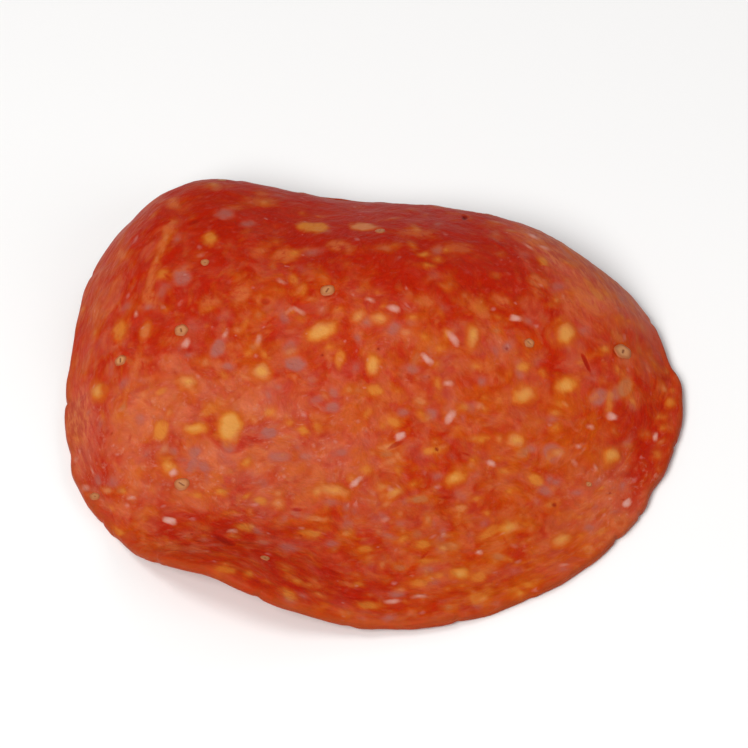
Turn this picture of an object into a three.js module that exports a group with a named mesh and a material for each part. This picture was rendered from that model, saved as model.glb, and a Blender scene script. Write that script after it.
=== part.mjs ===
// One round slice of large pepperoni, thin and limp, that has slumped over itself and lies on a
// table: a broad crown across the middle and the back, a flat skirt in front, and a rim that turns
// down behind.  Millimetres, +Z up, the front of the slice towards -Y, the table at z = 0.
//
// The slice is cut as a flat disc.  A point of the disc is given by its direction from the middle
// and its distance from it, and each direction is bent up and down on its own without stretching,
// so the sheet keeps its length from the middle to the rim.

import * as THREE from 'three';

// ---- Driving dimensions -------------------------------------------------------------------------

const RADIUS_ACROSS = 46.0;    // flat disc, middle to rim, left and right
const RADIUS_FRONT = 46.9;     // flat disc, middle to rim, towards the front
const RADIUS_BACK = 45.0;      // flat disc, middle to rim, towards the back
const THICKNESS = 1.6;
const SKIN_BULGE = 0.25;       // the casing edge stands out between the two cut faces

// Where the sheet stands up from the table: centre, reach across, reach deep, height.
const SWELLS = [
  { name: 'left shoulder', x: -24.8, y: 19.2, across: 17.7, deep: 35.3, height: 10.9 },
  { name: 'right shoulder', x: 19.5, y: 13.3, across: 26.2, deep: 22.5, height: 10.0 },
  { name: 'crown', x: 1.7, y: 9.5, across: 16.4, deep: 21.8, height: 7.0 },
  { name: 'lifted corner', x: -21.6, y: -44.8, across: 15.6, deep: 11.9, height: 6.9 },
  { name: 'front swell', x: -5.0, y: -11.4, across: 13.4, deep: 22.6, height: 1.9 },
];
const SETTLE = 0.36;           // the whole sheet sinks this far before it meets the table

// The outer part of the sheet turns down by a number of degrees that depends on the direction.
const DROOP_START = 0.66;      // share of the way to the rim where the turn begins
const DROOP_MEAN = 31.3;
const DROOP_TOWARDS = 81;      // the direction, anticlockwise from +X, that turns down the most
const DROOP_ONE_SIDED = 34.4;
const DROOP_THREE_SIDED = 12.6;
const DROOP_LEFT_RIGHT = -2.4;

const LANDING_RADIUS = 3.0;    // the tightest bend where the sheet meets the table
const PRESSED = 0.06;          // sheet that is nearer to the table than this lies flat on it

// The cut outline is not quite round: it wanders in and out, and has a few small nicks.
const RIM_WAVES = [
  { lobes: 2, depth: 1.05, from: -44 },
  { lobes: 3, depth: 1.30, from: 13 },
  { lobes: 4, depth: 0.88, from: -43 },
  { lobes: 5, depth: 0.57, from: -15 },
  { lobes: 6, depth: 0.41, from: 7.5 },
  { lobes: 7, depth: 0.14, from: -9 },
  { lobes: 9, depth: 0.16, from: 5 },
  { lobes: 14, depth: 0.12, from: 0 },
];
const NICKS = [
  { at: 8, width: 4.5, depth: 0.6 },
  { at: 196, width: 3.0, depth: 0.3 },
  { at: 260.5, width: 5.3, depth: 0.65 },
  { at: 335.5, width: 4.7, depth: 0.65 },
];

// ---- Fineness of the facets ---------------------------------------------------------------------

const SPOKES = 80;
const RINGS = 20;
const STEPS_PER_RING = 6;      // the bend of a spoke is summed in shorter steps than its facets

const radians = THREE.MathUtils.degToRad;

// ---- The flat disc ------------------------------------------------------------------------------

function rimRadius(angle) {
  const deep = Math.sin(angle) > 0 ? RADIUS_BACK : RADIUS_FRONT;
  const across = deep * Math.cos(angle);
  const along = RADIUS_ACROSS * Math.sin(angle);
  let radius = RADIUS_ACROSS * deep / Math.hypot(across, along);
  for (const wave of RIM_WAVES) {
    radius += wave.depth * Math.cos(wave.lobes * (angle - radians(wave.from)));
  }
  for (const nick of NICKS) {
    const apart = Math.atan2(Math.sin(angle - radians(nick.at)), Math.cos(angle - radians(nick.at)));
    radius -= nick.depth * Math.exp(-((apart / radians(nick.width)) ** 2));
  }
  return radius;
}

// ---- The bent sheet -----------------------------------------------------------------------------

function swellHeight(x, y) {
  let height = 0;
  for (const swell of SWELLS) {
    const across = (x - swell.x) / swell.across;
    const deep = (y - swell.y) / swell.deep;
    height += swell.height * Math.exp(-across * across - deep * deep);
  }
  return height;
}

function droopAngle(angle) {
  const away = angle - radians(DROOP_TOWARDS);
  const droop = DROOP_MEAN
    + DROOP_ONE_SIDED * Math.cos(away)
    + DROOP_THREE_SIDED * Math.cos(3 * away)
    + DROOP_LEFT_RIGHT * Math.cos(2 * angle);
  return radians(Math.max(droop, 0));
}

// The steepest way down that still lets the sheet meet the table in a round bend.
function landingAngle(height) {
  return Math.acos(THREE.MathUtils.clamp(1 - height / LANDING_RADIUS, 0, 1));
}

// The middle surface along one spoke: reach from the middle and height, ring by ring.
function bendSpoke(angle) {
  const rim = rimRadius(angle);
  const droop = droopAngle(angle);
  const steps = RINGS * STEPS_PER_RING;
  const step = rim / steps;
  const points = [];
  let reach = 0;
  let height = swellHeight(0, 0) - SETTLE;
  for (let i = 0; i <= steps; i += 1) {
    if (i % STEPS_PER_RING === 0) {
      points.push({ reach, height: Math.max(height - PRESSED, 0) });
    }
    const near = i * step;
    const far = near + step;
    const rise = swellHeight(far * Math.cos(angle), far * Math.sin(angle))
      - swellHeight(near * Math.cos(angle), near * Math.sin(angle));
    const turned = THREE.MathUtils.smoothstep((near + step / 2) / rim, DROOP_START, 1);
    const slope = Math.max(Math.atan(rise / step) - droop * turned, -landingAngle(height));
    reach += step * Math.cos(slope);
    height = Math.max(height + step * Math.sin(slope), 0);
  }
  return points;
}

function middleSurface() {
  const spokes = [];
  for (let j = 0; j < SPOKES; j += 1) {
    const angle = 2 * Math.PI * j / SPOKES;
    const along = new THREE.Vector3(Math.cos(angle), Math.sin(angle), 0);
    spokes.push(bendSpoke(angle).map(
      ({ reach, height }) => along.clone().multiplyScalar(reach).setZ(height),
    ));
  }
  return spokes;
}

// The upward normal at a ring of a spoke, from the neighbouring rings and spokes.
function surfaceNormal(spokes, j, i) {
  const next = spokes[(j + 1) % SPOKES];
  const previous = spokes[(j + SPOKES - 1) % SPOKES];
  const outer = spokes[j][Math.min(i + 1, RINGS)];
  const inner = spokes[j][i - 1];
  const outward = new THREE.Vector3().subVectors(outer, inner);
  const around = new THREE.Vector3().subVectors(next[i], previous[i]);
  return outward.cross(around).normalize();
}

function middleNormal(spokes) {
  const sum = new THREE.Vector3();
  for (let j = 0; j < SPOKES; j += 1) {
    sum.add(surfaceNormal(spokes, j, 1));
  }
  return sum.normalize();
}

// ---- The solid ----------------------------------------------------------------------------------

// Vertices: the upper middle, the upper rings, the casing edge, the lower rings, the lower middle.
function sliceGeometry() {
  const spokes = middleSurface();
  const half = THICKNESS / 2;
  const vertices = [];
  const triangles = [];
  const add = (point) => vertices.push(point) - 1;
  const offset = (point, normal, distance) => point.clone().addScaledVector(normal, distance);

  const upNormal = middleNormal(spokes);
  const upperMiddle = add(offset(spokes[0][0], upNormal, half));
  const lowerMiddle = add(offset(spokes[0][0], upNormal, -half));

  const rows = [];
  for (let i = 1; i <= RINGS; i += 1) {
    rows.push(spokes.map((spoke, j) => add(offset(spoke[i], surfaceNormal(spokes, j, i), half))));
  }
  rows.push(spokes.map((spoke) => {
    const outward = new THREE.Vector3().subVectors(spoke[RINGS], spoke[RINGS - 1]).normalize();
    return add(offset(spoke[RINGS], outward, SKIN_BULGE));
  }));
  for (let i = RINGS; i >= 1; i -= 1) {
    rows.push(spokes.map((spoke, j) => add(offset(spoke[i], surfaceNormal(spokes, j, i), -half))));
  }

  for (let j = 0; j < SPOKES; j += 1) {
    const next = (j + 1) % SPOKES;
    triangles.push([upperMiddle, rows[0][j], rows[0][next]]);
    for (let k = 0; k + 1 < rows.length; k += 1) {
      triangles.push([rows[k][j], rows[k + 1][j], rows[k + 1][next]]);
      triangles.push([rows[k][j], rows[k + 1][next], rows[k][next]]);
    }
    const last = rows[rows.length - 1];
    triangles.push([lowerMiddle, last[next], last[j]]);
  }

  const box = new THREE.Box3().setFromPoints(vertices);
  const centre = box.getCenter(new THREE.Vector3()).setZ(box.min.z);
  const positions = vertices.flatMap((vertex) => vertex.sub(centre).toArray());

  const geometry = new THREE.BufferGeometry();
  geometry.setAttribute('position', new THREE.Float32BufferAttribute(positions, 3));
  geometry.setIndex(triangles.flat());
  geometry.computeVertexNormals();
  return geometry;
}

const curedMeat = new THREE.MeshStandardMaterial({
  color: 0xb8452a,
  roughness: 0.45,
  metalness: 0,
});

const slice = new THREE.Mesh(sliceGeometry(), curedMeat);
slice.name = 'pepperoni_slice';

const part = new THREE.Group();
part.add(slice);

export default part;
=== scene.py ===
"""The looks of one pepperoni slice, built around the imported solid.

The sheet is worked out in millimetres with the same sums as the solid, only finer, and goes to
metres when a mesh is made.  A place on the sheet is given by (x, y) of the flat disc that the
slice was before it slumped, so the marbling follows the meat into every bend.
"""

import math

import bpy
import numpy as np
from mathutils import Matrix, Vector, noise


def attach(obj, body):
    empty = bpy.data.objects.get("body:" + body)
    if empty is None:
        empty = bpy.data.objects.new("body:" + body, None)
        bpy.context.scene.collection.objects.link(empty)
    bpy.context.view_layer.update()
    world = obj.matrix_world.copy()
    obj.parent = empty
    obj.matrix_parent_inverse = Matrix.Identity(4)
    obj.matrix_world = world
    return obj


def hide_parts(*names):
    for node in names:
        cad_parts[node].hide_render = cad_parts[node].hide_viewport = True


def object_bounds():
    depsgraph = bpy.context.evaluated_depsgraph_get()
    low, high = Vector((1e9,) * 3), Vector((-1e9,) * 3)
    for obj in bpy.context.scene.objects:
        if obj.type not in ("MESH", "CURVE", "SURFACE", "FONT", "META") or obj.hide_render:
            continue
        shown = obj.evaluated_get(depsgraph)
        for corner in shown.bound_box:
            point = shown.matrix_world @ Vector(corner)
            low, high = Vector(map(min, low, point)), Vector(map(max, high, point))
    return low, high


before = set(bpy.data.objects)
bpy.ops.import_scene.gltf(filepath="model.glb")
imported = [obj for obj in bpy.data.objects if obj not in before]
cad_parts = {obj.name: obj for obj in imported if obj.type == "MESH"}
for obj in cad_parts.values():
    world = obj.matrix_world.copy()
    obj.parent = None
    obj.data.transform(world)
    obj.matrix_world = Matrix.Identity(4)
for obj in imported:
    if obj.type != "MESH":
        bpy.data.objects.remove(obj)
cad_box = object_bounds()

SEED = 5210
MM = 0.001

# ---- The sheet, as in the solid --------------------------------------
# The radii, SWELLS, SETTLE, the DROOP numbers, RIM_WAVES of up to 7 lobes and NICKS weren't chosen
# by hand: they are rounded from a least-squares fit of the sheet to the slice's outline in the
# photograph, and the first round of it also used the shading.  The same is true of the elevation
# and the reference pixel of the photograph's camera.

RADIUS_ACROSS = 46.0
RADIUS_FRONT = 46.9
RADIUS_BACK = 45.0
THICKNESS = 1.6
SKIN_BULGE = 0.25

# centre x, centre y, reach across, reach deep, height
SWELLS = {
    "left shoulder": (-24.8, 19.2, 17.7, 35.3, 10.9),
    "right shoulder": (19.5, 13.3, 26.2, 22.5, 10.0),
    "crown": (1.7, 9.5, 16.4, 21.8, 7.0),
    "lifted corner": (-21.6, -44.8, 15.6, 11.9, 6.9),
    "front swell": (-5.0, -11.4, 13.4, 22.6, 1.9),
}
SETTLE = 0.36

DROOP_START = 0.66
DROOP_MEAN = 31.3
DROOP_TOWARDS = 81
DROOP_ONE_SIDED = 34.4
DROOP_THREE_SIDED = 12.6
DROOP_LEFT_RIGHT = -2.4

LANDING_RADIUS = 3.0
PRESSED = 0.06

# lobes, depth, degrees
RIM_WAVES = (
    (2, 1.05, -44), (3, 1.30, 13), (4, 0.88, -43), (5, 0.57, -15), (6, 0.41, 7.5), (7, 0.14, -9),
    (9, 0.16, 5), (14, 0.12, 0),
)
FINE_RIM_WAVES = ((31, 0.05, 3), (47, 0.04, 2))  # too fine for the solid's facets
# degrees, width in degrees, depth
NICKS = ((8, 4.5, 0.6), (196, 3.0, 0.3), (260.5, 5.3, 0.65), (335.5, 4.7, 0.65))
# Small jags, also too fine for the facets.
JAGS = (
    (17, 0.8, 0.30), (41, 0.6, 0.20), (73, 1.0, 0.25), (118, 0.8, 0.30), (151, 0.7, 0.20),
    (183, 0.9, 0.25), (214, 0.6, 0.20), (231, 0.9, 0.30), (252, 0.7, 0.30), (268, 0.9, 0.25),
    (287, 0.6, 0.25), (301, 1.0, 0.20), (322, 0.7, 0.35), (329, 0.6, 0.25), (347, 0.8, 0.20),
)

# ---- Fineness --------------------------------------------------------

TABLE_SPOKES = 720  # the bend is worked out on this grid, and read between its points
TABLE_STEPS = 360
UPPER_RINGS = 150  # ring i of a face has RING_POINTS * i points
LOWER_RINGS = 62
RING_POINTS = 6
EDGE_ROWS = 9
EDGE_INSET = 0.42  # the cut faces round over into the casing edge this far in
EDGE_SQUARENESS = 0.70
SHORT_WAY = 0.01  # share of a spoke, for its direction at a point
SHORTEST = 1e-9  # so that nothing is divided by zero in the middle

# ---- The photograph's camera -----------------------------------------

PHOTO_ELEVATION = math.radians(46.8)
PHOTO_PX_PER_MM = 4.3
PHOTO_DISTANCE = 1100.0  # mm, from the camera to the slice
PHOTO_REFERENCE = (428.3, 553.8)  # pixel of the point below
REFERENCE_HEIGHT = 4.0  # mm above the table, at the middle of the disc
TOWARD_PHOTO = np.array([0.0, -math.cos(PHOTO_ELEVATION), math.sin(PHOTO_ELEVATION)])
SHARE_OF_FRAME = 0.83  # the slice's width, as a share of the frame's
BARELY_SEEN = 0.05  # the photograph shows the sheet where it faces it more


def smoothstep(value, low, high):
    t = np.clip((value - low) / (high - low), 0.0, 1.0)
    return t * t * (3.0 - 2.0 * t)


# ---- The bend --------------------------------------------------------

def rim_radius(angle):
    deep = np.where(np.sin(angle) > 0, RADIUS_BACK, RADIUS_FRONT)
    radius = RADIUS_ACROSS * deep / np.hypot(deep * np.cos(angle), RADIUS_ACROSS * np.sin(angle))
    for lobes, depth, start in RIM_WAVES + FINE_RIM_WAVES:
        radius = radius + depth * np.cos(lobes * (angle - math.radians(start)))
    for place, width, depth in NICKS + JAGS:
        apart = angle - math.radians(place)
        apart = np.arctan2(np.sin(apart), np.cos(apart))
        radius = radius - depth * np.exp(-(apart / math.radians(width)) ** 2)
    return radius


def swell_height(x, y):
    height = np.zeros_like(x)
    for centre_x, centre_y, across, deep, top in SWELLS.values():
        height += top * np.exp(-((x - centre_x) / across) ** 2 - ((y - centre_y) / deep) ** 2)
    return height


def droop_angle(angle):
    away = angle - math.radians(DROOP_TOWARDS)
    droop = (DROOP_MEAN + DROOP_ONE_SIDED * np.cos(away) + DROOP_THREE_SIDED * np.cos(3 * away)
             + DROOP_LEFT_RIGHT * np.cos(2 * angle))
    return np.radians(np.maximum(droop, 0.0))


class Bend:
    """The middle surface and its normal, at any direction and share of the way to the rim."""

    def __init__(self):
        angle = np.linspace(0.0, 2 * math.pi, TABLE_SPOKES, endpoint=False)
        rim = rim_radius(angle)
        droop = droop_angle(angle)
        step = rim / TABLE_STEPS
        reach = np.zeros(TABLE_SPOKES)
        height = np.full(TABLE_SPOKES, swell_height(np.zeros(1), np.zeros(1))[0] - SETTLE)
        rows = []
        for i in range(TABLE_STEPS + 1):
            flat_height = np.maximum(height - PRESSED, 0.0)
            rows.append(np.stack([reach * np.cos(angle), reach * np.sin(angle), flat_height], -1))
            near = i * step
            far = near + step
            rise = (swell_height(far * np.cos(angle), far * np.sin(angle))
                    - swell_height(near * np.cos(angle), near * np.sin(angle)))
            turned = smoothstep((near + step / 2) / rim, DROOP_START, 1.0)
            steepest = np.arccos(np.clip(1 - height / LANDING_RADIUS, 0.0, 1.0))
            slope = np.maximum(np.arctan(rise / step) - droop * turned, -steepest)
            reach = reach + step * np.cos(slope)
            height = np.maximum(height + step * np.sin(slope), 0.0)
        self.places = np.array(rows)
        outward = np.gradient(self.places, axis=0)
        around = np.roll(self.places, -1, axis=1) - np.roll(self.places, 1, axis=1)
        normals = np.cross(outward, around)
        normals[0] = normals[1].mean(axis=0)
        self.normals = normals / np.linalg.norm(normals, axis=-1, keepdims=True)

    def read(self, table, angle, share):
        column = (angle / (2 * math.pi)) % 1.0 * TABLE_SPOKES
        row = np.clip(share, 0.0, 1.0) * TABLE_STEPS
        left = np.floor(column).astype(int)
        below = np.minimum(np.floor(row).astype(int), TABLE_STEPS - 1)
        s = (column - left)[..., None]
        t = (row - below)[..., None]
        left = left % TABLE_SPOKES
        right = (left + 1) % TABLE_SPOKES
        lower = table[below, left] * (1 - s) + table[below, right] * s
        upper = table[below + 1, left] * (1 - s) + table[below + 1, right] * s
        return lower * (1 - t) + upper * t

    def place(self, angle, share):
        return self.read(self.places, angle, share)

    def normal(self, angle, share):
        normal = self.read(self.normals, angle, share)
        return normal / np.linalg.norm(normal, axis=-1, keepdims=True)


bend = Bend()


def at_flat(x, y):
    """Direction and share of the way to the rim, of points of the flat disc."""
    angle = np.arctan2(y, x)
    return angle, np.hypot(x, y) / rim_radius(angle)


# ---- Noise over the sheet --------------------------------------------

SALT_STEPS = (17.3, 9.1, 5.7)  # how far apart two noises are read
FRACTAL = (0.9, 2.1, 2)  # fall, lacunarity and octaves


def wavy(points, size, salt):
    """Smooth noise from about -1 to 1 with lumps of about this size in millimetres."""
    shift = Vector([salt * step for step in SALT_STEPS])
    values = np.empty(len(points))
    for k, (x, y) in enumerate(points):
        values[k] = noise.fractal(Vector((x / size, y / size, 0.0)) + shift, *FRACTAL)
    return values


def layered(points, layers):
    """Such noises added up: how strong each is, its size and its salt."""
    return sum(by * wavy(points, size, salt) for by, size, salt in layers)


# ---- Mesh of the sheet -----------------------------------------------

def face_points(rings, last_share):
    """Directions and shares of a face's points, ring by ring from the middle."""
    angles = [np.zeros(1)]
    shares = [np.zeros(1)]
    for i in range(1, rings + 1):
        count = RING_POINTS * i
        angle = 2 * math.pi * np.arange(count) / count
        angles.append(angle)
        shares.append(last_share(angle) * i / rings)
    return angles, shares


def stitch(outer, inner, triangles):
    """Triangles between two closed rows of points that start in the same direction."""
    a = b = 0
    many, few = len(outer), len(inner)
    while a < many or b < few:
        if b >= few or (a < many and (a + 1) * few <= (b + 1) * many):
            triangles.append((inner[b % few], outer[a % many], outer[(a + 1) % many]))
            a += 1
        else:
            triangles.append((inner[b % few], outer[a % many], inner[(b + 1) % few]))
            b += 1


def edge_profile():
    """(outward, upward) of the rows of the casing edge, from the upper face to the lower one."""
    half = THICKNESS / 2
    rows = []
    for k in range(1, EDGE_ROWS + 1):
        turn = math.pi / 2 - math.pi * k / (EDGE_ROWS + 1)
        out = abs(math.cos(turn)) ** EDGE_SQUARENESS
        up = math.copysign(abs(math.sin(turn)) ** EDGE_SQUARENESS, math.sin(turn))
        rows.append((-EDGE_INSET + (EDGE_INSET + SKIN_BULGE) * out, half * up))
    return rows


class Sheet:
    """All points of the slice in rows: the upper face, then the casing edge, then the lower face."""

    def __init__(self):
        def inset_share(angle):
            return 1.0 - EDGE_INSET / rim_radius(angle)

        upper_angles, upper_shares = face_points(UPPER_RINGS, inset_share)
        lower_angles, lower_shares = face_points(LOWER_RINGS, inset_share)
        rim_angle = upper_angles[-1]
        rim_share = inset_share(rim_angle)
        half = THICKNESS / 2
        # Row by row: directions, shares, way up from the middle surface, way out past the inset.
        rows = [(angle, share, half, 0.0) for angle, share in zip(upper_angles, upper_shares)]
        rows += [(rim_angle, rim_share, up, out + EDGE_INSET) for out, up in edge_profile()]
        rows.append((rim_angle, rim_share, -half, 0.0))
        inner_rows = list(zip(lower_angles, lower_shares))[:-1]
        rows += [(angle, share, -half, 0.0) for angle, share in reversed(inner_rows)]
        self.angle, self.share, self.level, self.outward = (
            np.concatenate([np.broadcast_to(row[k], row[0].shape) for row in rows])
            for k in range(4)
        )

        radius = self.share * rim_radius(self.angle) + self.outward
        self.flat = np.stack([radius * np.cos(self.angle), radius * np.sin(self.angle)], axis=-1)
        self.inward = rim_radius(self.angle) - radius  # mm from the casing, along the sheet
        self.triangles = self.join(rows)

        upper_count = sum(len(row[0]) for row in rows[:UPPER_RINGS + 1])
        edge_count = EDGE_ROWS * len(rim_angle)
        self.upper = np.arange(len(self.angle)) < upper_count
        self.lower = np.arange(len(self.angle)) >= upper_count + edge_count
        self.edge = ~(self.upper | self.lower)

        middle = bend.place(self.angle, self.share)
        self.normal = bend.normal(self.angle, self.share)
        before = bend.place(self.angle, self.share - SHORT_WAY)
        tangent = middle - before
        length = np.linalg.norm(tangent, axis=-1, keepdims=True)
        self.tangent = tangent / np.maximum(length, SHORTEST)
        self.smooth = (middle + self.normal * self.level[:, None]
                       + self.tangent * self.outward[:, None])
        low, high = self.smooth.min(axis=0), self.smooth.max(axis=0)
        self.shift = np.array([-(low[0] + high[0]) / 2, -(low[1] + high[1]) / 2, -low[2]])

    @staticmethod
    def join(rows):
        starts = np.cumsum([0] + [len(row[0]) for row in rows])
        index = [np.arange(a, b) for a, b in zip(starts[:-1], starts[1:])]
        triangles = []
        for inner, outer in zip(index[:-1], index[1:]):
            stitch(outer, inner, triangles)
        return [t for t in triangles if len(set(t)) == 3]


sheet = Sheet()


# ---- Where a pixel of the photograph lies on the sheet ---------------

def photo_pixels(places):
    """Pixels of points in the disc's own frame, before it is centred on its box."""
    up = np.array([0.0, math.sin(PHOTO_ELEVATION), math.cos(PHOTO_ELEVATION)])
    offset = places - np.array([0.0, 0.0, REFERENCE_HEIGHT])
    depth = PHOTO_DISTANCE - offset @ TOWARD_PHOTO
    scale = PHOTO_PX_PER_MM * PHOTO_DISTANCE / depth
    return np.stack([PHOTO_REFERENCE[0] + scale * offset[:, 0],
                     PHOTO_REFERENCE[1] - scale * (offset @ up)], axis=-1)


class PhotoMap:
    """Finds the point of the upper face that a pixel shows, and how the sheet is stretched there."""

    NEAR = 1.6  # mm of sheet around the point, for the stretch
    SAME = 0.8  # pixels within which two points may be the same place or one behind the other

    def __init__(self):
        seen = sheet.upper & (sheet.normal @ TOWARD_PHOTO > BARELY_SEEN)
        self.flat = sheet.flat[seen]
        self.pixels = photo_pixels(sheet.smooth[seen])
        self.depth = -(sheet.smooth[seen] @ TOWARD_PHOTO)

    def find(self, px, py):
        apart = np.hypot(self.pixels[:, 0] - px, self.pixels[:, 1] - py)
        close = np.flatnonzero(apart < apart.min() + self.SAME)
        best = close[np.argmin(self.depth[close])]
        centre = self.flat[best]
        around = np.hypot(*(self.flat - centre).T) < self.NEAR
        stretch, *_ = np.linalg.lstsq(self.flat[around] - centre,
                                      self.pixels[around] - self.pixels[best], rcond=None)
        return centre, stretch.T


photo_map = PhotoMap()


def turned(degrees):
    c, s = math.cos(math.radians(degrees)), math.sin(math.radians(degrees))
    return np.array([[c, s], [-s, c]])


def photo_blob(px, py, long, wide, tilt=0):
    """A piece measured in the photograph: its pixel, its size in pixels, and its long way, with
    degrees anticlockwise as seen.  Returns its centre on the sheet, and the matrix that makes a
    unit circle of it."""
    centre, stretch = photo_map.find(px, py)
    mirror = np.array([[1.0, 0.0], [0.0, -1.0]])
    shape = np.diag([2 / long, 2 / wide]) @ turned(tilt) @ mirror @ stretch
    return centre, shape


def loose_blob(x, y, long, wide, tilt):
    """The same for a piece given on the sheet, in millimetres."""
    return np.array([x, y]), np.diag([2 / long, 2 / wide]) @ turned(tilt)


# ---- What is in the meat ---------------------------------------------
# Pieces as the photograph shows them: pixel, long and wide in pixels, and tilt in degrees where it
# isn't 0.  The first of each kind lie nearest to the cut and are the plainest.

BRIGHT_FAT = (
    (348, 585, 21, 16, 80), (328, 586, 18, 8, 5), (367, 553, 13, 11), (403, 528, 21, 12, 25),
    (435, 548, 14, 9, 85), (440, 520, 11, 8, -10), (495, 531, 15, 8, 80), (323, 558, 13, 9),
    (552, 561, 15, 11, 10), (525, 566, 15, 12, 20), (552, 530, 15, 13, 40),
    (484, 617, 14, 10, 25), (521, 593, 14, 10, 15), (580, 603, 13, 10, 35),
    (517, 646, 14, 10, 20), (487, 675, 13, 10), (549, 653, 14, 9, 25), (412, 624, 22, 9, -8),
    (449, 625, 15, 7, 22), (311, 609, 13, 11, -40), (268, 564, 13, 9, 85), (401, 624, 10, 9),
    (441, 622, 9, 7, 10), (459, 620, 9, 5, 15), (453, 652, 10, 6, 20), (475, 538, 11, 8),
)
ORANGE_FAT = (
    (306, 588, 13, 10, 80), (393, 587, 12, 8, -35), (398, 465, 19, 7, -3), (337, 473, 11, 9),
    (415, 545, 12, 6, 85), (437, 563, 12, 10), (526, 549, 13, 6), (500, 593, 11, 7),
    (471, 600, 13, 6, 5), (466, 482, 8, 5), (474, 484, 8, 5, 15), (468, 488, 9, 4),
    (479, 479, 7, 4), (533, 618, 10, 10), (464, 657, 12, 9), (499, 689, 15, 8, 15),
    (367, 630, 12, 7, -20), (432, 693, 18, 6), (282, 527, 15, 8, 75), (372, 577, 9, 7),
    (282, 649, 12, 6, -30), (357, 647, 14, 7), (398, 650, 16, 6, -5), (347, 672, 16, 5, -15),
    (431, 611, 12, 7), (429, 659, 14, 5, 5), (506, 648, 20, 7, 30), (468, 667, 16, 7),
    (464, 679, 18, 6, 5), (521, 684, 11, 6, 15), (499, 676, 14, 8, 20), (606, 603, 8, 7),
    (607, 579, 8, 7), (545, 577, 9, 8), (578, 570, 16, 6, 80), (485, 587, 9, 7),
    (569, 503, 26, 5, -50),
)
# Fat that lies under the cut, and shows as a soft light patch or streak.
VEILED_FAT = (
    (312, 466, 13, 7, 66), (307, 477, 14, 6, 70), (302, 490, 14, 6, 72), (380, 481, 20, 8),
    (562, 508, 36, 8, -45), (355, 505, 20, 13, 80), (337, 511, 14, 9), (416, 476, 17, 7, -20),
    (300, 510, 13, 10, 60), (283, 482, 10, 9), (314, 450, 13, 8, -20), (266, 516, 14, 8, 80),
    (291, 547, 22, 7, 80), (299, 500, 30, 5, 70), (535, 498, 15, 9), (512, 509, 14, 8, -20),
    (503, 518, 12, 9), (286, 560, 26, 4, 78), (583, 532, 12, 6, -60), (531, 473, 20, 7, -22),
    (501, 549, 16, 9), (278, 500, 24, 4, 66), (445, 568, 22, 9), (513, 568, 14, 10),
    (443, 580, 14, 7, 10), (509, 557, 12, 8), (287, 585, 13, 10, 80), (295, 639, 10, 8),
    (313, 657, 14, 7, -20), (398, 680, 16, 8, -25), (404, 579, 12, 8), (380, 597, 13, 7),
    (402, 614, 13, 9), (425, 643, 13, 8), (517, 635, 17, 8, 30), (535, 661, 12, 7, 20),
    (563, 647, 12, 9, 30), (467, 688, 17, 6), (505, 671, 16, 8, 20), (491, 690, 14, 6, 8),
    (592, 568, 13, 10, 60), (333, 620, 14, 9), (352, 566, 14, 10), (322, 600, 16, 10),
    (484, 478, 26, 7), (460, 468, 26, 6, -2), (366, 449, 24, 6, -3),
)
PEACH_FAT = (
    (429, 464, 18, 5, -3), (445, 598, 15, 6, -4), (487, 635, 11, 6, 10), (403, 641, 15, 5, -3),
    (377, 632, 10, 8), (310, 471, 8, 4, 68), (304, 484, 8, 4, 72), (455, 528, 11, 8, -20),
    (445, 606, 11, 6, 20), (350, 650, 7, 4, 10),
)
GREY_PATCHES = (
    (544, 601, 15, 12), (387, 548, 15, 10, -10), (572, 567, 12, 10, 50),
    (371, 588, 13, 10, 10), (342, 538, 15, 9, 65), (378, 603, 16, 8), (409, 573, 13, 8, 15),
    (470, 578, 10, 9), (333, 609, 12, 9, -40), (327, 600, 11, 8), (531, 599, 10, 7),
    (430, 522, 9, 7), (543, 580, 9, 7), (320, 495, 12, 10), (346, 457, 12, 6),
    (500, 557, 10, 7), (582, 566, 12, 8, 60), (469, 671, 12, 6), (411, 656, 10, 6),
    (297, 602, 10, 7, 40), (416, 601, 13, 7, 10), (393, 603, 10, 7), (294, 581, 10, 8, 70),
    (276, 618, 12, 9, 60), (410, 630, 12, 7), (383, 658, 15, 7, -5), (452, 644, 11, 7),
    (424, 549, 10, 8),
)
# Fat that has gone dull and greyish yellow.
OLIVE_FAT = (
    (462, 630, 15, 7), (482, 658, 13, 7, 5), (510, 664, 12, 6, 5), (588, 561, 14, 9, 70),
    (481, 694, 11, 5), (444, 602, 14, 6, -4), (525, 602, 12, 8, 20), (424, 563, 10, 6),
    (452, 669, 12, 6),
)
CHIPS = (
    (468, 545, 9, 4.5, -48), (452, 591, 7, 4.5, 20), (312, 642, 9, 4, -15),
    (581, 580, 7, 4.5, -10), (588, 632, 6, 4, 40), (424, 620, 9, 4, 38), (314, 613, 4.5, 4, 30),
    (522, 521, 7, 3.5, -10), (499, 661, 4, 2.5), (605, 591, 6, 3, 80), (531, 471, 9, 2.2, -28),
    (448, 514, 8, 4, -28), (484, 533, 9, 4, -50), (506, 607, 6, 3.5, -25), (322, 535, 5, 3, 60),
    (481, 579, 9, 5, 60), (289, 628, 6, 3), (480, 560, 5, 3), (433, 509, 6, 3, -20),
    (566, 586, 5, 3), (560, 598, 4, 3), (447, 690, 9, 2.5, 4), (464, 688, 9, 2.5, 4),
    (350, 649, 7, 3), (538, 477, 8, 2.0, -20), (529, 477, 7, 1.6, -36), (389, 514, 8, 3, -30),
    (261, 622, 5, 4), (380, 498, 6, 2.5, -30), (345, 530, 7, 2.5, 60),
)
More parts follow.
